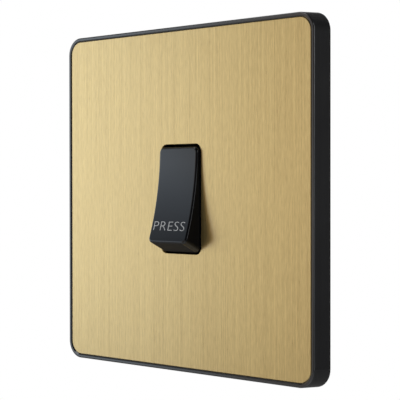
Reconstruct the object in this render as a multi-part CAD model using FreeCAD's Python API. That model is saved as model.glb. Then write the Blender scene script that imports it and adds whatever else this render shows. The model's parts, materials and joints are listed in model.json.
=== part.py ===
import FreeCAD, Part
import math
import os

# Retractive push-button light switch on a square screwless plate.
# Frame: X right, Z up, the front faces -Y. Y = 0 is the wall, and the origin is the plate's middle on it.
V = FreeCAD.Vector
ORIGIN = V(0, 0, 0)
AXIS_X = V(1, 0, 0)
AXIS_Y = V(0, 1, 0)
AXIS_Z = V(0, 0, 1)
PAST = 1.0                      # how far a cutting tool runs past the face it opens

# Cover: moulded surround with a metal plate laid in its rim
plate_size = 95.0               # at the front
wall_flare = 0.36               # each side wider at the wall
surround_depth = 6.4
surround_corner = 5.0
surround_wall = 2.0
rim_width = 1.12
rim_round = 0.35                # outer edge
rim_bevel = 0.3                 # inner edge
rear_bevel = 0.3
rim_proud = 0.2                 # rim ahead of the metal face
plate_gap = 0.08                # open line between rim and metal
plate_thickness = 1.0
plate_bevel = 0.12
web_thickness = 1.5
rib_thickness = 1.2
rib_height = 1.8
rib_inset = 9.0                 # ribs' distance from the surround's outer edge
notch_width = 9.0               # prising notch in the lower wall
notch_height = 1.6

# Rocker
rocker_width = 14.8
rocker_length = 29.7
side_gap = 0.3                  # rocker to opening, at the sides and at the ends
end_gap = 0.2
opening_corner = 1.9
pivot_depth = 3.3               # rocker axis behind the metal face
face_height = 5.75              # middle of the hollow face ahead of the axis
face_radius = 80.0
draft_start = 1.0               # ahead of the axis
end_draft = 15.5
skirt_depth = 1.2               # skirt behind the axis
rocker_corner = 1.5
face_round = 0.6
rocker_wall = 1.5
rest_tilt = 10.0                # lower end out
press_travel = 17.0
trunnion_radius = 1.25
trunnion_bite = 1.3             # length inside the bearing

# Plunger in the rocker's stem, pressing on the see-saw contact arm
stem_half = 2.9
stem_length = 6.0               # behind the axis
plunger_radius = 1.4
plunger_length = 8.2
plunger_reach = 10.4            # tip behind the axis
nose_flat = 0.5                 # radius of the tip
nose_length = 0.8
plunger_spring_length = 3.6
plunger_wire = 0.2
plunger_turns = 1.75

# Return spring between the housing's ledge and the rocker's lower half
return_inset = 6.0              # from the rocker's lower end
return_radius = 1.95
return_wire = 0.25
return_turns = 2.0
return_seat = 2.2               # rocker's seat ahead of the axis
seat_size = 5.2
peg_size = 2.2
peg_height = 1.2

# Contact arm, contacts and strips
arm_tilt = 5.0                  # each way from level
arm_width = 5.0
arm_thickness = 0.8
arm_end = 1.8                   # arm past the contact's centre
arm_lift = 1.2                  # back of the arm ahead of its fulcrum
ear_length = 3.4
fulcrum_radius = 0.8
upright_thickness = 1.0
upright_width = 2.6
upright_nose = 0.3              # upright ahead of the fulcrum bar
contact_offset = 7.0
contact_size = 3.0
contact_height = 0.7
strip_width = 5.0
strip_thickness = 0.8

# Terminals
block_start = 10.5              # from the middle plane
block_length = 7.5
block_width = 7.0
block_depth = 6.6
block_floor = 0.9               # metal ahead of the wire hole
wire_radius = 1.8
wire_depth = 6.0
screw_radius = 1.6
screw_stand = 0.8               # backed-out screw behind the block
screw_room = 1.0                # cover's window round the screw
screw_slot = 0.7
screw_slot_depth = 0.8

# Housing and its rear cover
collar_setback = 0.1            # collar wall behind the opening's edge
collar_wall = 1.8
housing_wall = 1.8
housing_corner = 2.0
housing_margin = 0.4            # shoulder past the collar, above and below
wedge_width = 8.0               # snap wedges that hold the collar in the yoke
wedge_height = 0.6
wedge_length = 1.8
ledge_front = 1.6               # behind the wall plane
ledge_thickness = 1.5
pad_width = 8.0
pad_height = 1.4
chamber_width = 10.0
chamber_end = 1.2               # free room past the arm's ends
cover_thickness = 1.6
barrier_thickness = 1.4         # insulating wall between the terminal screws
barrier_height = 2.0
leg_width = 8.0                 # snap legs of the rear cover, above and below
leg_thickness = 1.4
leg_length = 6.0
leg_hook = 0.5
leg_hook_length = 1.2

# Mounting yoke
yoke_margin = 2.5               # yoke to the surround's walls
yoke_thickness = 1.2
yoke_corner = 4.0
fold_length = 60.0              # stiffening folds along the upper and lower edges
fold_depth = 2.0
fixing_centres = 60.3
slot_radius = 2.0
slot_length = 8.0
clip_across = 44.0              # clips' centres across and up
clip_up = 54.0
clip_width = 8.0
clip_thickness = 1.4
clip_hook = 0.8
clip_tip = 1.6                  # tip behind the yoke
clip_bite = 0.45                # hook over the window's edge
clip_flex = 1.0                 # room for the clip to bend inwards

# Earth terminal on the yoke's back
earth_height = 21.0             # lower end above the middle
tenon_size = 3.0
tenon_proud = 0.3               # peened end ahead of the yoke

# Clearances
running = 0.05                  # turning fits, radial
sliding = 0.08                  # plunger in its bore, radial
loose = 0.15                    # parts laid in pockets
snug = 0.02                     # peened tenon in its hole
seated = 0.1                    # faces that stop against each other
nose_gap = 0.06                 # nose to contact arm at mid travel

# Derived levels along Y, front to back
rim_front = -surround_depth
plate_front = rim_front + rim_proud
plate_back = plate_front + plate_thickness
web_back = plate_back + web_thickness
pivot = plate_front + pivot_depth
collar_front = plate_back + seated
yoke_front = -yoke_thickness
ledge_back = ledge_front + ledge_thickness
fulcrum = pivot + plunger_reach + nose_gap + arm_thickness + arm_lift

# Closed contacts: the edge of the arm's tilted tip, then the fixed tip, then the strips and blocks behind
tilt = math.radians(arm_tilt)
closed_reach = contact_offset + contact_size / 2
closed_edge = (contact_height - arm_lift) * math.cos(tilt) + closed_reach * math.sin(tilt)
strip_front = fulcrum + closed_edge + seated + contact_height
strip_back = strip_front + strip_thickness
wire_level = strip_back + block_floor + wire_radius
block_back = strip_back + block_depth
housing_back = block_back + seated
cover_back = housing_back + cover_thickness

# Derived sizes across the front
opening_width = rocker_width + 2 * side_gap
opening_height = rocker_length + 2 * end_gap
well_width = opening_width + 2 * collar_setback
well_height = opening_height + 2 * collar_setback
collar_width = well_width + 2 * collar_wall
collar_height = well_height + 2 * collar_wall
block_end = block_start + block_length
housing_width = 2 * (block_end + loose + housing_wall)
housing_height = collar_height + 2 * housing_margin
arm_half = contact_offset + arm_end
return_offset = rocker_length / 2 - return_inset
yoke_size = plate_size - 2 * (surround_wall + yoke_margin)
stem_bore = plunger_radius + sliding
plunger_back = plunger_reach - plunger_length
bore_floor = plunger_back - plunger_spring_length
terminals = {"common": (-1, 0.0), "upper": (1, contact_offset), "lower": (1, -contact_offset)}


def box(x, y, z):
    return Part.makeBox(x[1] - x[0], y[1] - y[0], z[1] - z[0], V(x[0], y[0], z[0]))


def spread(middle, size):
    return (middle - size / 2, middle + size / 2)


def mirrored(side, near, far):
    # a range of X on the left (-1) or right (+1) of the middle plane
    return (side * near, side * far) if side > 0 else (side * far, side * near)


def upright_edges(shape):
    # edges that run from front to back, also those with a draft
    return [edge for edge in shape.Edges if abs(edge.tangentAt(edge.FirstParameter).y) > 0.9]


def slab(width, height, corner, y):
    # a plate parallel to the wall with rounded corners
    plain = box(spread(0, width), y, spread(0, height))
    return plain.makeFillet(corner, upright_edges(plain))


def rod_y(radius, y, x=0.0, z=0.0):
    return Part.makeCylinder(radius, y[1] - y[0], V(x, y[0], z), AXIS_Y)


def rod_x(radius, x, y, z=0.0):
    return Part.makeCylinder(radius, x[1] - x[0], V(x[0], y, z), AXIS_X)


def edges_at(shape, level):
    # edges that lie in the plane Y = level
    return [e for e in shape.Edges if max(abs(e.BoundBox.YMin - level), abs(e.BoundBox.YMax - level)) < 1e-6]


def edges_within(shape, level, half):
    # of those, the ones inside a square about the middle
    found = []
    for edge in edges_at(shape, level):
        room = edge.BoundBox
        if max(room.XMax, -room.XMin, room.ZMax, -room.ZMin) < half:
            found.append(edge)
    return found


def prism_x(outline, x):
    # an outline of (y, z) points run along X
    corners = [V(x[0], y, z) for y, z in outline]
    face = Part.Face(Part.makePolygon(corners + corners[:1]))
    return face.extrude(AXIS_X * (x[1] - x[0]))


def placed(shape, x=0.0, y=0.0, z=0.0):
    moved = shape.copy()
    moved.translate(V(x, y, z))
    return moved


def tilted(shape, degrees, level):
    # turned about the X axis where it stands, then moved back to the level of its own axis
    turned_shape = shape.copy()
    turned_shape.rotate(ORIGIN, AXIS_X, degrees)
    turned_shape.translate(V(0, level, 0))
    return turned_shape


def coil(radius, wire, length, turns):
    # compression spring along +Y from Y = 0, its wire drawn with a square section
    height = length - 2 * wire
    path = Part.makeHelix(height / turns, height, radius)
    angles = [math.radians(90 * step) for step in range(5)]
    section = Part.makePolygon([V(radius + wire * math.cos(a), 0, wire * math.sin(a)) for a in angles])
    spring = Part.Wire(path).makePipeShell([section], True, True)
    spring.translate(V(0, 0, wire))
    spring.rotate(ORIGIN, AXIS_X, -90)
    return spring


# Cover pieces
def make_front_plate():
    inset = rim_width + plate_gap
    size = plate_size - 2 * inset
    plate = slab(size, size, surround_corner - inset, (plate_front, plate_back))
    through = (plate_front - PAST, plate_back + PAST)
    plate = plate.cut(slab(opening_width, opening_height, opening_corner, through))
    return plate.makeChamfer(plate_bevel, edges_at(plate, plate_front))


def make_clip(side, end):
    # snap tongue from the web through the yoke, its hook facing away from the middle
    inner = clip_up / 2 - clip_thickness / 2
    outer = inner + clip_thickness
    catch = seated
    outline = [
        (web_back, inner),
        (clip_tip, inner),
        (clip_tip, inner + clip_thickness / 2),
        (catch + clip_hook / 2, outer + clip_hook),
        (catch, outer + clip_hook),
        (catch, outer),
        (web_back, outer),
    ]
    points = [(y, end * z) for y, z in outline]
    return prism_x(points, spread(side * clip_across / 2, clip_width))


def make_surround_frame():
    near = plate_size / 2
    far = near + wall_flare
    block = Part.makeWedge(-near, rim_front, -near, -far, -far, near, 0.0, near, far, far)
    frame = block.makeFillet(surround_corner, upright_edges(block))
    frame = frame.makeFillet(rim_round, edges_at(frame, rim_front))
    frame = frame.makeChamfer(rear_bevel, edges_at(frame, 0.0))
    pocket = plate_size - 2 * rim_width
    frame = frame.cut(slab(pocket, pocket, surround_corner - rim_width, (rim_front - PAST, plate_back)))
    frame = frame.makeChamfer(rim_bevel, edges_within(frame, rim_front, pocket / 2 + rim_bevel))
    hollow = plate_size - 2 * surround_wall
    frame = frame.cut(box(spread(0, hollow), (web_back, PAST), spread(0, hollow)))
    window = (plate_back - PAST, web_back + PAST)
    play = 2 * loose
    frame = frame.cut(box(spread(0, collar_width + play), window, spread(0, collar_height + play)))
    notch_room = spread(-plate_size / 2, 4 * surround_wall)
    frame = frame.cut(box(spread(0, notch_width), (-notch_height, PAST), notch_room))
    rib_line = plate_size / 2 - rib_inset
    ribs = []
    for sign in (-1, 1):
        depth = (web_back, web_back + rib_height)
        ribs.append(box(spread(sign * rib_line, rib_thickness), depth, spread(0, hollow)))
        ribs.append(box(spread(0, hollow), depth, spread(sign * rib_line, rib_thickness)))
    clips = [make_clip(side, end) for side in (-1, 1) for end in (-1, 1)]
    return frame.multiFuse(ribs + clips).removeSplitter()


# Mounting pieces
def make_mounting_yoke():
    level = (yoke_front, 0.0)
    through = (yoke_front - PAST, PAST)
    yoke = box(spread(0, yoke_size), level, spread(0, yoke_size))
    yoke = yoke.makeChamfer(yoke_corner, upright_edges(yoke))
    cuts = [box(spread(0, collar_width + 2 * seated), through, spread(0, collar_height + 2 * seated))]
    for side in (-1, 1):
        straight = slot_length - 2 * slot_radius
        middle = side * fixing_centres / 2
        ends = [rod_y(slot_radius, through, middle + shift) for shift in (-straight / 2, straight / 2)]
        between = box(spread(middle, straight), through, spread(0, 2 * slot_radius))
        cuts.append(between.fuse(ends))
        for end in (-1, 1):
            inner = clip_up / 2 - clip_thickness / 2 - clip_flex
            outer = clip_up / 2 + clip_thickness / 2 + clip_hook - clip_bite
            x = spread(side * clip_across / 2, clip_width + 2 * loose)
            cuts.append(box(x, through, sorted((end * inner, end * outer))))
    tenon = tenon_size + 2 * snug
    cuts.append(box(spread(0, tenon), through, spread(earth_height + block_length / 2, tenon)))
    folds = []
    for end in (-1, 1):
        edge = sorted((end * yoke_size / 2, end * (yoke_size / 2 - yoke_thickness)))
        folds.append(box(spread(0, fold_length), (yoke_front - fold_depth, yoke_front), edge))
    return yoke.cut(cuts).multiFuse(folds).removeSplitter()


def make_earth_block():
    block = box(spread(0, block_width), (0.0, block_depth), (earth_height, earth_height + block_length))
    top = earth_height + block_length
    level = block_floor + wire_radius
    hole = Part.makeCylinder(wire_radius, wire_depth + PAST, V(0, level, top - wire_depth), AXIS_Z)
    middle = earth_height + block_length / 2
    thread = rod_y(screw_radius + running, (level, block_depth + PAST), 0, middle)
    tenon = box(spread(0, tenon_size), (yoke_front - tenon_proud, 0), spread(middle, tenon_size))
    return block.cut([hole, thread]).fuse(tenon)


# Housing pieces
def pad_level(angle):
    # where the skirt's rear corner stops when that end is turned in by the angle
    turn = math.radians(angle)
    return pivot + skirt_depth * math.cos(turn) + rocker_length / 2 * math.sin(turn) + seated


def make_wedge(end):
    # snap wedge on the collar's top or bottom that catches the yoke's front
    catch = yoke_front - seated
    base = collar_height / 2
    outline = [(catch, base), (catch, base + wedge_height), (catch - wedge_length, base)]
    return prism_x([(y, end * z) for y, z in outline], spread(0, wedge_width))


def make_snap_leg(end, play):
    # leg along the housing's top or bottom, its hook turned inwards; the recess is the same with some play
    outer = housing_height / 2
    tip = housing_back - leg_length
    inner = outer - leg_thickness - play
    width = spread(0, leg_width + 2 * play)
    leg = box(width, (tip - play, housing_back), sorted((end * inner, end * outer)))
    hook_depth = (tip - play, tip + leg_hook_length + play)
    return leg.fuse(box(width, hook_depth, sorted((end * (inner - leg_hook), end * outer))))


def make_switch_housing():
    body = slab(housing_width, housing_height, housing_corner, (0.0, housing_back))
    collar = box(spread(0, collar_width), (collar_front, ledge_front), spread(0, collar_height))
    body = body.fuse(collar)
    well = box(spread(0, well_width), (collar_front - PAST, ledge_front), spread(0, well_height))
    swing = stem_length * math.sin(math.radians(max(rest_tilt, press_travel - rest_tilt)))
    stem_room = stem_half + swing + 2 * loose
    ledge = (ledge_front - PAST, ledge_back + PAST)
    slot = box(spread(0, 2 * (stem_half + 2 * loose)), ledge, spread(0, 2 * stem_room))
    chamber_height = 2 * (arm_half + chamber_end)
    chamber = box(spread(0, chamber_width), (ledge_back, housing_back + PAST), spread(0, chamber_height))
    bearing = rod_x(trunnion_radius + running, spread(0, collar_width + 2 * PAST), pivot)
    cuts = [well, slot, chamber, bearing]
    for side, height in terminals.values():
        depth = (strip_front, housing_back + PAST)
        cuts.append(box(mirrored(side, 0, block_start), depth, spread(height, strip_width + 2 * loose)))
        pocket = mirrored(side, block_start - loose, block_end + loose)
        cuts.append(box(pocket, depth, spread(height, block_width + 2 * loose)))
        entry = mirrored(side, block_end, housing_width / 2 + PAST)
        room = wire_radius + 3 * loose
        cuts.append(box(entry, (wire_level - room, housing_back + PAST), spread(height, 2 * room)))
    cuts += [make_snap_leg(end, loose) for end in (-1, 1)]
    body = body.cut(cuts)
    peg = (ledge_front - peg_height, ledge_front)
    pads = [box(spread(0, peg_size), peg, spread(-return_offset, peg_size))]
    for sign, angle in ((1, rest_tilt), (-1, press_travel - rest_tilt)):
        z = sorted((sign * (well_height / 2 - pad_height), sign * well_height / 2))
        pads.append(box(spread(0, pad_width), (pad_level(angle), ledge_front), z))
        pads.append(make_wedge(sign))
    return body.multiFuse(pads).removeSplitter()


def make_rear_cover():
    cover = slab(housing_width, housing_height, housing_corner, (housing_back, cover_back))
    middle = (block_start + block_end) / 2
    through = (housing_back - PAST, cover_back + PAST)
    room = 2 * (screw_radius + screw_room)
    for side, height in terminals.values():
        cover = cover.cut(box(spread(side * middle, room), through, spread(height, room)))
    ridge = (cover_back, cover_back + barrier_height)
    legs = [make_snap_leg(end, 0.0) for end in (-1, 1)]
    upright = box(spread(0, barrier_thickness), ridge, spread(0, housing_height - 2 * housing_corner))
    level = box((0, housing_width / 2 - housing_corner), ridge, spread(0, barrier_thickness))
    return cover.multiFuse(legs + [upright, level]).removeSplitter()


# Rocker and what moves with it, drawn about the rocker's own axis with the front towards -Y
def rocker_form(inset, skirt):
    # block with tapered ends and the hollow face, drawn smaller all round by the inset
    taper = 2 * face_height
    ends = rocker_length / 2 - inset
    end_top = ends - (taper - draft_start) * math.tan(math.radians(end_draft))
    lower = [(skirt, -ends), (-draft_start, -ends), (-taper, -end_top)]
    upper = [(y, -z) for y, z in reversed(lower)]
    width = rocker_width - 2 * inset
    hollow = rod_x(face_radius + inset, spread(0, 2 * width), -(face_height + face_radius))
    return prism_x(lower + upper, spread(0, width)), hollow


def make_rocker():
    block, hollow = rocker_form(0.0, skirt_depth)
    shell = block.makeFillet(rocker_corner, upright_edges(block)).cut(hollow)
    round_faces = [f for f in shell.Faces if isinstance(f.Surface, Part.Cylinder)]
    face = max(round_faces, key=lambda f: f.Surface.Radius)
    shell = shell.makeFillet(face_round, face.Edges)
    core, core_hollow = rocker_form(rocker_wall, skirt_depth + PAST)
    shell = shell.cut(core.cut(core_hollow))
    ceiling = -(face_height - rocker_wall / 2)
    stem = box(spread(0, 2 * stem_half), (ceiling, stem_length), spread(0, 2 * stem_half))
    seat = box(spread(0, seat_size), (ceiling, -return_seat), spread(-return_offset, seat_size))
    inside = rocker_width - rocker_wall
    web = box(spread(0, inside), (ceiling, skirt_depth), spread(0, rocker_wall))
    shaft_length = well_width + 2 * trunnion_bite
    trunnions = rod_x(trunnion_radius, spread(0, shaft_length), 0)
    rocker = shell.multiFuse([stem, seat, web, trunnions])
    rocker = rocker.cut(rod_y(stem_bore, (bore_floor, stem_length + PAST)))
    return tilted(rocker.removeSplitter(), -rest_tilt, pivot)


def make_plunger():
    shoulder = plunger_reach - nose_length
    pin = rod_y(plunger_radius, (plunger_back, shoulder))
    nose = Part.makeCone(plunger_radius, nose_flat, nose_length, V(0, shoulder, 0), AXIS_Y)
    return tilted(pin.fuse(nose).removeSplitter(), -rest_tilt, pivot)


def make_plunger_spring():
    mean = stem_bore - sliding - plunger_wire
    spring = coil(mean, plunger_wire, plunger_spring_length, plunger_turns)
    return tilted(placed(spring, 0, bore_floor), -rest_tilt, pivot)


def make_return_spring():
    # from the ledge to the rocker's tilted seat, clear of the seat's nearer edge
    turn = math.radians(rest_tilt)
    seat = pivot - return_seat * math.cos(turn) - return_offset * math.sin(turn)
    front = seat + (return_radius + return_wire) * math.sin(turn) + seated
    spring = coil(return_radius, return_wire, ledge_front - front, return_turns)
    return placed(spring, 0, front, -return_offset)


# Contacts
def make_tips(front):
    # a pair of square contact tips, above and below the middle
    depth = (front, front + contact_height)
    width = spread(0, contact_size)
    places = (-contact_offset, contact_offset)
    return Part.makeCompound([box(width, depth, spread(z, contact_size)) for z in places])


def make_arm_contacts():
    return tilted(make_tips(-arm_lift), arm_tilt, fulcrum)


def make_fixed_contacts():
    return make_tips(strip_front - contact_height)


def make_contact_arm():
    level = (-arm_lift - arm_thickness, -arm_lift)
    arm = box(spread(0, arm_width), level, spread(0, 2 * arm_half))
    ears = []
    for side in (-1, 1):
        x = mirrored(side, arm_width / 2 - arm_thickness, arm_width / 2)
        ears.append(box(x, (-arm_lift, 0), spread(0, ear_length)))
    arm = arm.multiFuse(ears)
    notch = rod_x(fulcrum_radius + running, spread(0, 2 * arm_width), 0)
    return tilted(arm.cut(notch).removeSplitter(), arm_tilt, fulcrum)


def make_common_strip():
    inner = arm_width / 2 + 2 * loose
    outer = inner + upright_thickness
    strip = box((-block_end, outer), (strip_front, strip_back), spread(0, strip_width))
    uprights = []
    for side in (-1, 1):
        depth = (fulcrum - fulcrum_radius - upright_nose, strip_front)
        uprights.append(box(mirrored(side, inner, outer), depth, spread(0, upright_width)))
    bar = rod_x(fulcrum_radius, spread(0, 2 * outer), fulcrum)
    return strip.multiFuse(uprights + [bar]).removeSplitter()


def make_contact_strip(height):
    return box((-strip_width / 2, block_end), (strip_front, strip_back), spread(height, strip_width))


# Terminals
def make_terminal_block(side, height):
    block = box(mirrored(side, block_start, block_end), (strip_back, block_back), spread(height, block_width))
    mouth = mirrored(side, block_end - wire_depth, block_end + PAST)
    hole = rod_x(wire_radius, mouth, wire_level, height)
    middle = side * (block_start + block_end) / 2
    thread = rod_y(screw_radius + running, (wire_level, block_back + PAST), middle, height)
    return block.cut([hole, thread])


def make_terminal_screw(block_face, hole_level):
    # headless and slotted, backed out so that its tip clears the wire hole
    top = block_face + screw_stand
    screw = rod_y(screw_radius, (hole_level + wire_radius + seated, top))
    slot = box(spread(0, 3 * screw_radius), (top - screw_slot_depth, top + PAST), spread(0, screw_slot))
    return screw.cut(slot)


def make_terminal_screws():
    screw = make_terminal_screw(block_back, wire_level)
    middle = (block_start + block_end) / 2
    return Part.makeCompound([placed(screw, side * middle, 0, height) for side, height in terminals.values()])


def make_earth_screw():
    screw = make_terminal_screw(block_depth, block_floor + wire_radius)
    return placed(screw, 0, 0, earth_height + block_length / 2)


pieces = {
    "front_plate": make_front_plate(),
    "surround_frame": make_surround_frame(),
    "mounting_yoke": make_mounting_yoke(),
    "earth_block": make_earth_block(),
    "earth_screw": make_earth_screw(),
    "switch_housing": make_switch_housing(),
    "rear_cover": make_rear_cover(),
    "rocker": make_rocker(),
    "plunger": make_plunger(),
    "plunger_spring": make_plunger_spring(),
    "return_spring": make_return_spring(),
    "contact_arm": make_contact_arm(),
    "arm_contacts": make_arm_contacts(),
    "fixed_contacts": make_fixed_contacts(),
    "common_strip": make_common_strip(),
    "upper_strip": make_contact_strip(contact_offset),
    "lower_strip": make_contact_strip(-contact_offset),
    "terminal_screws": make_terminal_screws(),
}
for label, (block_side, block_height) in terminals.items():
    pieces[label + "_block"] = make_terminal_block(block_side, block_height)

os.makedirs("parts", exist_ok=True)
for node, piece in pieces.items():
    piece.exportStep("parts/" + node + ".step")
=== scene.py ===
import json
import math
import bmesh
import bpy
from mathutils import Matrix, Vector


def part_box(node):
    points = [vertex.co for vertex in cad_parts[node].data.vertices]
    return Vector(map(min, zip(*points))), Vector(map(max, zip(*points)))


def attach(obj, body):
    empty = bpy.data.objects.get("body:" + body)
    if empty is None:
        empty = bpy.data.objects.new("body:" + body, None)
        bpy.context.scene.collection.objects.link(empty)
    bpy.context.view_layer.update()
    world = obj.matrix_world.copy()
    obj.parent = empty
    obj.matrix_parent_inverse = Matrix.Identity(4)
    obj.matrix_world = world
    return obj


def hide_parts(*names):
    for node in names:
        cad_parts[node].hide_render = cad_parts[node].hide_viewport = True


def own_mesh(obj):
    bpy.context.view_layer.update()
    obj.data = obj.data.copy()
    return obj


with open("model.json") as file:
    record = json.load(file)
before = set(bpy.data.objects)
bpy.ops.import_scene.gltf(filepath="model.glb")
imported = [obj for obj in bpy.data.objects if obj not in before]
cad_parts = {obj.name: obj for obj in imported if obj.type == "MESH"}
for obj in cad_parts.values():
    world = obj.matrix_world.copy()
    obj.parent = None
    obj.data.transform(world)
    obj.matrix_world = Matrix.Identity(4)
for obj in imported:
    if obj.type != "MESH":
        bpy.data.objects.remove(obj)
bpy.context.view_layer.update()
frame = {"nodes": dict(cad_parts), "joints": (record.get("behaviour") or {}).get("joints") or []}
parts = frame["nodes"]
mm = 0.001
plainWhite = (1, 1, 1, 1)
noiseLook = {
    "span": (0.3, 0.7),        # most of the noise lies between these
    "rough": 0.55,
    "sparkDetail": 2.0,
    "cloudDetail": 3.0,
    "grainDetail": 3.0,
    "patchDetail": 4.0,
}
print("switch frame loaded:", len(parts), "parts")


# helpers for objects and node trees
def addObject(name, data):
    made = bpy.data.objects.new(name, data)
    bpy.context.scene.collection.objects.link(made)
    return made


def mathStep(tree, kind, *values):
    step = tree.nodes.new("ShaderNodeMath")
    step.operation = kind
    for socket, value in zip(step.inputs, values):
        if isinstance(value, (int, float)):
            socket.default_value = value
        else:
            tree.links.new(value, socket)
    return step.outputs[0]


def mapRange(tree, field, start, end, low=0.0, high=1.0):
    span = tree.nodes.new("ShaderNodeMapRange")
    for socket, value in zip(("From Min", "From Max", "To Min", "To Max"), (start, end, low, high)):
        span.inputs[socket].default_value = value
    tree.links.new(field, span.inputs["Value"])
    return span.outputs["Result"]


def toneRamp(tree, field, stops):
    # a tone is one level or a colour
    ramp = tree.nodes.new("ShaderNodeValToRGB")
    elements = ramp.color_ramp.elements
    elements.remove(elements[-1])
    for index, (where, tone) in enumerate(stops):
        stop = elements.new(where) if index else elements[0]
        stop.position = where
        stop.color = (*tone, 1) if isinstance(tone, tuple) else (tone, tone, tone, 1)
    tree.links.new(field, ramp.inputs["Fac"])
    return ramp.outputs["Color"]


def mixFields(tree, first, second, share):
    return mathStep(tree, "MULTIPLY_ADD", second, share, mathStep(tree, "MULTIPLY", first, 1 - share))


def objectSpot(tree):
    return tree.nodes.new("ShaderNodeTexCoord").outputs["Object"]


def lookedAt(tree):
    # where the camera looks, straight or through glass, and where a glossy surface does
    rays = tree.nodes.new("ShaderNodeLightPath").outputs
    seen = mathStep(tree, "MAXIMUM", rays["Is Camera Ray"], rays["Is Transmission Ray"])
    return seen, rays["Is Glossy Ray"]


# helpers for finishes
def startFinish(name):
    finish = bpy.data.materials.new(name)
    finish.use_nodes = True
    tree = finish.node_tree
    return finish, tree, tree.nodes["Principled BSDF"]


def grainField(tree, detail, scale=1.0, stretch=(1, 1, 1)):
    # noise on the part's own coordinates, per metre; stretch is along x, y, z
    turn = tree.nodes.new("ShaderNodeMapping")
    turn.inputs["Scale"].default_value = stretch
    tree.links.new(objectSpot(tree), turn.inputs["Vector"])
    noise = tree.nodes.new("ShaderNodeTexNoise")
    noise.inputs["Scale"].default_value = scale
    noise.inputs["Detail"].default_value = detail
    noise.inputs["Roughness"].default_value = noiseLook["rough"]
    tree.links.new(turn.outputs["Vector"], noise.inputs["Vector"])
    return noise.outputs["Fac"]


def setSurface(tree, shader, look, tint, grain):
    # colour from one field, gloss and relief from the other
    tones = toneRamp(tree, tint, zip(noiseLook["span"], (look["low"], look["high"])))
    tree.links.new(tones, shader.inputs["Base Color"])
    gloss = mapRange(tree, grain, *noiseLook["span"], *look["gloss"])
    tree.links.new(gloss, shader.inputs["Roughness"])
    bump = tree.nodes.new("ShaderNodeBump")
    bump.inputs["Distance"].default_value = look["relief"]
    tree.links.new(grain, bump.inputs["Height"])
    tree.links.new(bump.outputs["Normal"], shader.inputs["Normal"])


def mouldedPlastic(name, look):
    finish, tree, shader = startFinish(name)
    spark = grainField(tree, noiseLook["sparkDetail"], scale=look["sparkScale"])
    cloud = grainField(tree, noiseLook["cloudDetail"], scale=look["cloudScale"])
    setSurface(tree, shader, look, cloud, spark)
    shader.inputs["Specular IOR Level"].default_value = look["specular"]
    return finish


def workedMetal(name, look):
    finish, tree, shader = startFinish(name)
    detail = look.get("detail", noiseLook["grainDetail"])
    grain = grainField(tree, detail, stretch=look["stretch"])
    if "longStretch" in look:
        lines = grainField(tree, detail, stretch=look["longStretch"])
        grain = mixFields(tree, grain, lines, look["longShare"])
    cloud = grainField(tree, noiseLook["patchDetail"], scale=look["cloudScale"])
    setSurface(tree, shader, look, mixFields(tree, grain, cloud, look["cloudShare"]), grain)
    shader.inputs["Metallic"].default_value = look.get("metal", 1.0)
    shader.inputs["Coat Weight"].default_value = look.get("lacquer", 0.0)
    shader.inputs["Coat Roughness"].default_value = look.get("lacquerGloss", 0.0)
    return finish


def dress(finish, *names):
    for name in names:
        slots = parts[name].data.materials
        slots.clear()
        slots.append(finish)


# brushed brass face with upright hairlines
brassLook = {
    "stretch": (6400, 6400, 420),
    "longStretch": (6600, 6600, 16),
    "longShare": 0.56,
    "cloudScale": 26,
    "cloudShare": 0.05,
    "low": (0.468, 0.320, 0.111),
    "high": (0.819, 0.618, 0.255),
    "gloss": (0.27, 0.35),
    "metal": 0.85,             # satin, so part of its light comes back soft
    "lacquer": 1.0,            # clear coat over the brushing
    "lacquerGloss": 0.15,
    "relief": 0.012 * mm,
    "detail": 2.0,
}
dress(workedMetal("brushedBrass", brassLook), "front_plate")

# black surround
surroundLook = {
    "sparkScale": 4200,
    "cloudScale": 60,
    "low": (0.010, 0.010, 0.011),
    "high": (0.015, 0.015, 0.016),
    "gloss": (0.14, 0.20),
    "relief": 0.003 * mm,
    "specular": 0.95,
}
dress(mouldedPlastic("surroundBlack", surroundLook), "surround_frame")

# black rocker, with a matt lower end, and painted shade on its sides: their reflection is tinted darker
rockerLook = {
    "sparkScale": 5200,
    "cloudScale": 70,
    "low": (0.0030, 0.0034, 0.0045),
    "high": (0.0045, 0.0052, 0.0068),
    "gloss": (0.05, 0.09),
    "relief": 0.0005 * mm,
    "specular": 0.53,
    "mattBelow": -11.8 * mm,   # up the rocker
    "mattWithin": 6.0 * mm,    # to either side of its middle
    "mattFade": 0.3 * mm,
    "mattGloss": 0.7,
    # painted shade on the sides: from here outwards their reflection is tinted darker
    "flankFrom": 7.1 * mm,     # to either side of its middle
    "flankFade": 0.25 * mm,
    "flankShadeTint": 0.3,
}
rockerBlack = mouldedPlastic("rockerBlack", rockerLook)
tree = rockerBlack.node_tree
shader = tree.nodes["Principled BSDF"]
polish = shader.inputs["Roughness"].links[0].from_socket
axes = tree.nodes.new("ShaderNodeSeparateXYZ")
tree.links.new(objectSpot(tree), axes.inputs["Vector"])
aside = mathStep(tree, "ABSOLUTE", axes.outputs["X"])
lowEnd = mapRange(tree, axes.outputs["Z"], rockerLook["mattBelow"] + rockerLook["mattFade"],
                  rockerLook["mattBelow"] - rockerLook["mattFade"])
middle = mapRange(tree, aside, rockerLook["mattWithin"] + rockerLook["mattFade"],
                  rockerLook["mattWithin"] - rockerLook["mattFade"])
blend = tree.nodes.new("ShaderNodeMix")
tree.links.new(mathStep(tree, "MULTIPLY", lowEnd, middle), blend.inputs["Factor"])
tree.links.new(polish, blend.inputs["A"])
blend.inputs["B"].default_value = rockerLook["mattGloss"]
tree.links.new(blend.outputs["Result"], shader.inputs["Roughness"])
# painted shade: the sides' specular tint falls towards flankShadeTint, so they reflect darker
flankShade = mapRange(tree, aside, rockerLook["flankFrom"], rockerLook["flankFrom"] + rockerLook["flankFade"],
                 1.0, rockerLook["flankShadeTint"])
tree.links.new(flankShade, shader.inputs["Specular Tint"])
dress(rockerBlack, "rocker")
print("front finishes set")

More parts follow.
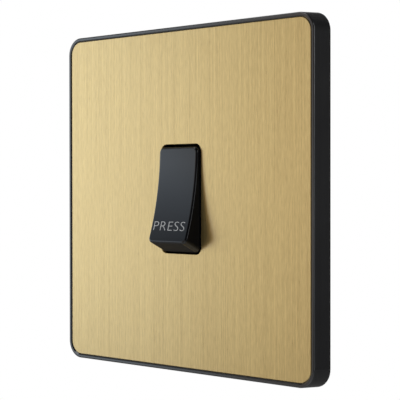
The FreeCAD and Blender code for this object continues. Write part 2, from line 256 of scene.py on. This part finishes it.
# mouldings behind the plate
housingLook = {
    "sparkScale": 3600,
    "cloudScale": 45,
    "low": (0.020, 0.020, 0.022),
    "high": (0.032, 0.032, 0.034),
    "gloss": (0.48, 0.60),
    "relief": 0.006 * mm,
    "specular": 0.45,
}
coverLook = {
    "sparkScale": 3400,
    "cloudScale": 40,
    "low": (0.36, 0.36, 0.35),
    "high": (0.43, 0.43, 0.42),
    "gloss": (0.45, 0.58),
    "relief": 0.006 * mm,
    "specular": 0.45,
}
nylonLook = {
    "sparkScale": 3000,
    "cloudScale": 120,
    "low": (0.74, 0.72, 0.64),
    "high": (0.82, 0.80, 0.73),
    "gloss": (0.35, 0.45),
    "relief": 0.003 * mm,
    "specular": 0.5,
}
dress(mouldedPlastic("housingGrey", housingLook), "switch_housing")
dress(mouldedPlastic("coverGrey", coverLook), "rear_cover")
dress(mouldedPlastic("nylonWhite", nylonLook), "plunger")

# metal behind the plate
zincLook = {
    "stretch": (260, 260, 900),
    "cloudScale": 55,
    "cloudShare": 0.5,
    "low": (0.50, 0.51, 0.53),
    "high": (0.66, 0.67, 0.68),
    "gloss": (0.30, 0.44),
    "relief": 0.006 * mm,
}
screwLook = {
    "stretch": (900, 900, 900),
    "cloudScale": 300,
    "cloudShare": 0.4,
    "low": (0.58, 0.54, 0.42),
    "high": (0.70, 0.66, 0.55),
    "gloss": (0.24, 0.36),
    "relief": 0.004 * mm,
}
terminalLook = {
    "stretch": (500, 2600, 2600),
    "cloudScale": 160,
    "cloudShare": 0.3,
    "low": (0.62, 0.43, 0.16),
    "high": (0.76, 0.56, 0.25),
    "gloss": (0.22, 0.34),
    "relief": 0.005 * mm,
}
copperLook = {
    "stretch": (200, 2400, 2400),
    "cloudScale": 140,
    "cloudShare": 0.35,
    "low": (0.60, 0.33, 0.20),
    "high": (0.74, 0.45, 0.30),
    "gloss": (0.26, 0.38),
    "relief": 0.004 * mm,
}
silverLook = {
    "stretch": (2000, 2000, 2000),
    "cloudScale": 400,
    "cloudShare": 0.4,
    "low": (0.66, 0.65, 0.62),
    "high": (0.80, 0.79, 0.76),
    "gloss": (0.22, 0.34),
    "relief": 0.003 * mm,
}
springLook = {
    "stretch": (3000, 900, 3000),
    "cloudScale": 220,
    "cloudShare": 0.3,
    "low": (0.42, 0.42, 0.44),
    "high": (0.56, 0.56, 0.58),
    "gloss": (0.20, 0.32),
    "relief": 0.003 * mm,
}
springSteel = workedMetal("springSteel", springLook)
dress(workedMetal("zincSteel", zincLook), "mounting_yoke")
dress(workedMetal("screwSteel", screwLook), "terminal_screws", "earth_screw")
dress(workedMetal("terminalBrass", terminalLook), "common_block", "upper_block", "lower_block", "earth_block")
dress(workedMetal("stripCopper", copperLook), "common_strip", "upper_strip", "lower_strip", "contact_arm")
dress(workedMetal("contactSilver", silverLook), "arm_contacts", "fixed_contacts")
dress(springSteel, "return_spring", "plunger_spring")
print("inner finishes set")


# coil springs in round wire
def windSpring(name, coil):
    bm = bmesh.new()
    section = bmesh.ops.create_circle(bm, segments=coil["wireSides"], radius=coil["wire"])
    stand = Matrix.Translation((coil["radius"], 0, coil["wire"])) @ Matrix.Rotation(math.pi / 2, 4, "X")
    bmesh.ops.transform(bm, matrix=stand, verts=section["verts"])
    geom = section["verts"] + list(bm.edges)
    closedRun = (coil["closedTurns"], coil["closedRise"])
    openRun = (coil["turns"], coil["length"] - 2 * coil["wire"] - 2 * coil["closedRise"])
    for turns, climb in (closedRun, openRun, closedRun):
        steps = int(coil["stepsPerTurn"] * turns)
        made = bmesh.ops.spin(bm, geom=geom, cent=(0, 0, 0), axis=(0, 0, 1), dvec=(0, 0, climb / steps),
                              angle=2 * math.pi * turns, steps=steps, use_merge=False, use_duplicate=False)
        geom = made["geom_last"]
    bmesh.ops.remove_doubles(bm, verts=bm.verts, dist=coil["weld"])
    bmesh.ops.holes_fill(bm, edges=[edge for edge in bm.edges if edge.is_boundary], sides=0)
    bmesh.ops.recalc_face_normals(bm, faces=bm.faces)
    for face in bm.faces:
        face.smooth = True
    bmesh.ops.transform(bm, matrix=coil["place"], verts=bm.verts)
    mesh = bpy.data.meshes.new(name)
    bm.to_mesh(mesh)
    bm.free()
    mesh.materials.append(springSteel)
    spring = addObject(name, mesh)
    return spring


joints = {joint["name"]: joint for joint in frame["joints"]}
rockerAxis = Vector(joints["rocker_tilt"]["pos_m"])
stemWay = Vector(joints["plunger_slide"]["axis"]).normalized()
if stemWay.y < 0:
    stemWay.negate()
restTilt = math.atan2(-stemWay.z, stemWay.y)

returnLow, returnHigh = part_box("return_spring")
returnAnchor = Vector((0, returnHigh.y, (returnLow.z + returnHigh.z) / 2))
returnCoil = {
    "radius": 1.95 * mm,
    "wire": 0.24 * mm,
    "wireSides": 10,
    "length": returnHigh.y - returnLow.y,
    "turns": 3.6,
    "closedTurns": 0.9,
    "closedRise": 0.5 * mm,
    "stepsPerTurn": 28,
    "weld": 0.0001 * mm,
    "place": Matrix.Translation(returnAnchor) @ Matrix.Rotation(math.pi / 2, 4, "X"),
}
returnSpring = windSpring("returnCoil", returnCoil)
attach(returnSpring, "base")
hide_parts("return_spring")
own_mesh(returnSpring)

stemReach = [(point.co - rockerAxis).dot(stemWay) for point in parts["plunger_spring"].data.vertices]
plungerAnchor = rockerAxis + stemWay * min(stemReach)
plungerCoil = {
    "radius": 1.2 * mm,
    "wire": 0.19 * mm,
    "wireSides": 10,
    "length": max(stemReach) - min(stemReach),
    "turns": 3.0,
    "closedTurns": 0.75,
    "closedRise": 0.32 * mm,
    "stepsPerTurn": 28,
    "weld": 0.0001 * mm,
    "place": Matrix.Translation(plungerAnchor) @ Matrix.Rotation(-restTilt - math.pi / 2, 4, "X"),
}
plungerSpring = windSpring("plungerCoil", plungerCoil)
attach(plungerSpring, "rocker")
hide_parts("plunger_spring")
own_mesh(plungerSpring)
print("springs wound")

# legend on the rocker's lower end
legendLook = {
    "words": "PRESS",
    "capHeight": 2.55 * mm,
    "width": 11.95 * mm,
    "faceHeight": 5.75 * mm,   # middle of the hollow face ahead of the rocker's axis
    "faceRadius": 80 * mm,
    "along": -8.55 * mm,       # middle of the words below the axis, along the rocker
    "aside": -0.2 * mm,
    "proud": 0.02 * mm,
    "spacing": 1.06,
    "thin": -0.022,            # this and the next two in the font's own size
    "extrude": 0.02,
    "weld": 0.00001,
    "curveSteps": 6,
}
printLook = {
    "sparkScale": 6000,
    "cloudScale": 900,
    "low": (0.46, 0.47, 0.48),
    "high": (0.56, 0.57, 0.58),
    "gloss": (0.45, 0.6),
    "relief": 0.002 * mm,
    "specular": 0.4,
}
legendCurve = bpy.data.curves.new("legendCurve", "FONT")
legendCurve.body = legendLook["words"]
legendCurve.align_x = "CENTER"
legendCurve.space_character = legendLook["spacing"]
legendCurve.offset = legendLook["thin"]
legendCurve.extrude = legendLook["extrude"]
legendCurve.resolution_u = legendLook["curveSteps"]
legendText = addObject("legendText", legendCurve)
bpy.context.view_layer.update()
legendMesh = bpy.data.meshes.new_from_object(legendText)
bpy.data.objects.remove(legendText)
bm = bmesh.new()
bm.from_mesh(legendMesh)
bmesh.ops.remove_doubles(bm, verts=bm.verts, dist=legendLook["weld"])
xs = [vert.co.x for vert in bm.verts]
ys = [vert.co.y for vert in bm.verts]
fit = (legendLook["width"] / (max(xs) - min(xs)), legendLook["capHeight"] / (max(ys) - min(ys)),
       legendLook["proud"] / legendLook["extrude"])
bmesh.ops.translate(bm, vec=(-(max(xs) + min(xs)) / 2, -(max(ys) + min(ys)) / 2, 0), verts=bm.verts)
bmesh.ops.scale(bm, vec=fit, verts=bm.verts)
faceSlope = math.asin(legendLook["along"] / legendLook["faceRadius"])
faceDepth = legendLook["faceHeight"] + legendLook["faceRadius"] * (1 - math.cos(faceSlope))
lay = (Matrix.Translation(rockerAxis) @ Matrix.Rotation(-restTilt, 4, "X")
       @ Matrix.Translation((legendLook["aside"], -faceDepth, legendLook["along"]))
       @ Matrix.Rotation(math.pi / 2 + faceSlope, 4, "X"))
bmesh.ops.transform(bm, matrix=lay, verts=bm.verts)
bm.to_mesh(legendMesh)
bm.free()
legendMesh.name = "pressLegend"
legendMesh.materials.clear()
legendMesh.materials.append(mouldedPlastic("legendGrey", printLook))
legend = addObject("pressLegend", legendMesh)
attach(legend, "rocker")
print("legend laid on the rocker")

# plain floor, lifted to white for the camera and still holding the shadow
stageLook = {
    "floorLevel": -0.5,
    "floorSize": 3.4,
    "floorTone": (0.14, 0.14, 0.138, 1),
    "floorGloss": 0.9,
    "floorLift": 0.95,         # added where the camera looks
    "mirrorLift": 0.36,        # added where a glossy surface looks, round the spot
    "mirrorSpot": (0.0, -1.2, -0.5),
    "mirrorNear": 0.95,        # fading out between these distances from the spot
    "mirrorFar": 1.5,
}
bm = bmesh.new()
bmesh.ops.create_grid(bm, x_segments=1, y_segments=1, size=stageLook["floorSize"] / 2)
bmesh.ops.translate(bm, vec=(0, 0, stageLook["floorLevel"]), verts=bm.verts)
floorMesh = bpy.data.meshes.new("studioFloor")
bm.to_mesh(floorMesh)
bm.free()
floorFinish, tree, shader = startFinish("floorWhite")
shader.inputs["Base Color"].default_value = stageLook["floorTone"]
shader.inputs["Roughness"].default_value = stageLook["floorGloss"]
shader.inputs["Emission Color"].default_value = plainWhite
reach = tree.nodes.new("ShaderNodeVectorMath")
reach.operation = "DISTANCE"
reach.inputs[1].default_value = stageLook["mirrorSpot"]
tree.links.new(objectSpot(tree), reach.inputs[0])
mirrorShare = mapRange(tree, reach.outputs["Value"], stageLook["mirrorNear"], stageLook["mirrorFar"],
                       stageLook["mirrorLift"], 0.0)
seen, glossy = lookedAt(tree)
lift = mathStep(tree, "ADD", mathStep(tree, "MULTIPLY", seen, stageLook["floorLift"]),
                mathStep(tree, "MULTIPLY", glossy, mirrorShare))
tree.links.new(lift, shader.inputs["Emission Strength"])
floorMesh.materials.append(floorFinish)
floor = addObject("studioFloor", floorMesh)

# surroundings: white to the camera; pale walls and dark gaps in reflections
studioLook = {
    # by compass: 0 left, 0.25 front, 0.5 right, 0.75 rear
    "around": [(0.0, 0.48), (0.06, (0.91, 0.94, 0.945)), (0.085, (0.93, 1.0, 1.0)),
               (0.10, (0.775, 0.86, 0.89)), (0.11, (0.62, 0.695, 0.785)), (0.12, (0.60, 0.675, 0.765)),
               (0.13, (0.355, 0.35, 0.335)), (0.14, (0.25, 0.20, 0.165)), (0.15, (0.30, 0.24, 0.205)),
               (0.165, (0.29, 0.24, 0.215)), (0.185, (0.18, 0.16, 0.15)), (0.25, (0.041, 0.033, 0.025)),
               (0.375, 0.025), (0.475, 0.025), (0.49, (0.744, 0.785, 0.826)), (0.53, (0.744, 0.785, 0.826)),
               (0.545, 0.041), (0.66, 0.041), (0.71, 0.44), (0.83, 0.44), (0.86, 0.35), (0.90, 0.33),
               (1.0, 0.48)],
    # from below (0) to overhead (1)
    "upDown": [(0.30, 0.12), (0.40, 0.52), (0.46, 0.92), (0.50, 1.0), (0.55, 1.0), (0.62, 0.58),
               (0.71, 0.18), (0.79, 0.06), (1.0, 0.06)],
    "wallLevel": 2.3,
    "ambient": 0.45,           # soft light from all round
    "sideShare": 0.97,         # more of it from the pale walls
}
world = bpy.data.worlds.new("studio")
bpy.context.scene.world = world
world.use_nodes = True
tree = world.node_tree
white = tree.nodes["Background"]
white.inputs["Color"].default_value = plainWhite
heading = tree.nodes.new("ShaderNodeTexCoord").outputs["Generated"]
compass = tree.nodes.new("ShaderNodeTexGradient")
compass.gradient_type = "RADIAL"
tree.links.new(heading, compass.inputs["Vector"])
ring = toneRamp(tree, compass.outputs["Fac"], studioLook["around"])
height = tree.nodes.new("ShaderNodeSeparateXYZ")
tree.links.new(heading, height.inputs["Vector"])
rise = toneRamp(tree, mapRange(tree, height.outputs["Z"], -1.0, 1.0), studioLook["upDown"])
walls = tree.nodes.new("ShaderNodeBackground")
tree.links.new(ring, walls.inputs["Color"])
tree.links.new(mathStep(tree, "MULTIPLY", rise, studioLook["wallLevel"]), walls.inputs["Strength"])
soft = tree.nodes.new("ShaderNodeBackground")
soft.inputs["Color"].default_value = plainWhite
level = mathStep(tree, "MULTIPLY_ADD", ring, studioLook["sideShare"], studioLook["ambient"])
tree.links.new(level, soft.inputs["Strength"])
seen, glossy = lookedAt(tree)
mirrored = tree.nodes.new("ShaderNodeMixShader")
tree.links.new(glossy, mirrored.inputs["Fac"])
tree.links.new(soft.outputs["Background"], mirrored.inputs[1])
tree.links.new(walls.outputs["Background"], mirrored.inputs[2])
straight = tree.nodes.new("ShaderNodeMixShader")
tree.links.new(seen, straight.inputs["Fac"])
tree.links.new(mirrored.outputs["Shader"], straight.inputs[1])
tree.links.new(white.outputs["Background"], straight.inputs[2])
tree.links.new(straight.outputs["Shader"], tree.nodes["World Output"].inputs["Surface"])

# softboxes, all turned to the middle of the switch
softboxes = {
    "leftBox": {"place": (-0.6, -0.7, 0.95), "size": (0.7, 0.7), "watts": 3.0},
    "backBox": {"place": (-0.25, 1.0, 0.3), "size": (0.5, 0.5), "watts": 1.3},
    "sideStrip": {"place": (1.1, -0.1, 0.44), "size": (0.22, 0.72), "watts": 2.2},
    "frontBox": {"place": (0.05, -1.6, -0.06), "size": (0.9, 0.22), "watts": 0.75},
    "lowBox": {"place": (0.09, -0.23, -0.43), "size": (0.3, 0.3), "watts": 0.1},
}
for name, box in softboxes.items():
    lamp = bpy.data.lights.new(name, "AREA")
    lamp.shape = "RECTANGLE"
    lamp.size, lamp.size_y = box["size"]
    lamp.energy = box["watts"]
    holder = addObject(name, lamp)
    holder.location = box["place"]
    holder.rotation_euler = (-Vector(box["place"])).to_track_quat("-Z", "Y").to_euler()

# the photo's camera
cameraLook = {
    "place": (257.685 * mm, -261.249 * mm, 3.843 * mm),
    "yaw": 44.462,
    "pitch": 0.648,            # looking down
    "roll": -0.057,
    "focal": 1317.972,         # in pixels of the frame
    "frame": 400,
    "sensor": 36,
    "clipStart": 10 * mm,
}
lens = bpy.data.cameras.new("photoLens")
lens.sensor_width = cameraLook["sensor"]
lens.lens = cameraLook["focal"] * cameraLook["sensor"] / cameraLook["frame"]
lens.clip_start = cameraLook["clipStart"]
camera = addObject("photoCamera", lens)
camera.location = cameraLook["place"]
turn = Matrix.Rotation(math.radians(cameraLook["yaw"]), 3, "Z")
turn = turn @ Matrix.Rotation(math.radians(90 - cameraLook["pitch"]), 3, "X")
turn = turn @ Matrix.Rotation(math.radians(cameraLook["roll"]), 3, "Z")
camera.rotation_euler = turn.to_euler()
bpy.context.scene.camera = camera
bpy.context.scene.view_settings.view_transform = "Standard"
print("stage, light and camera set")
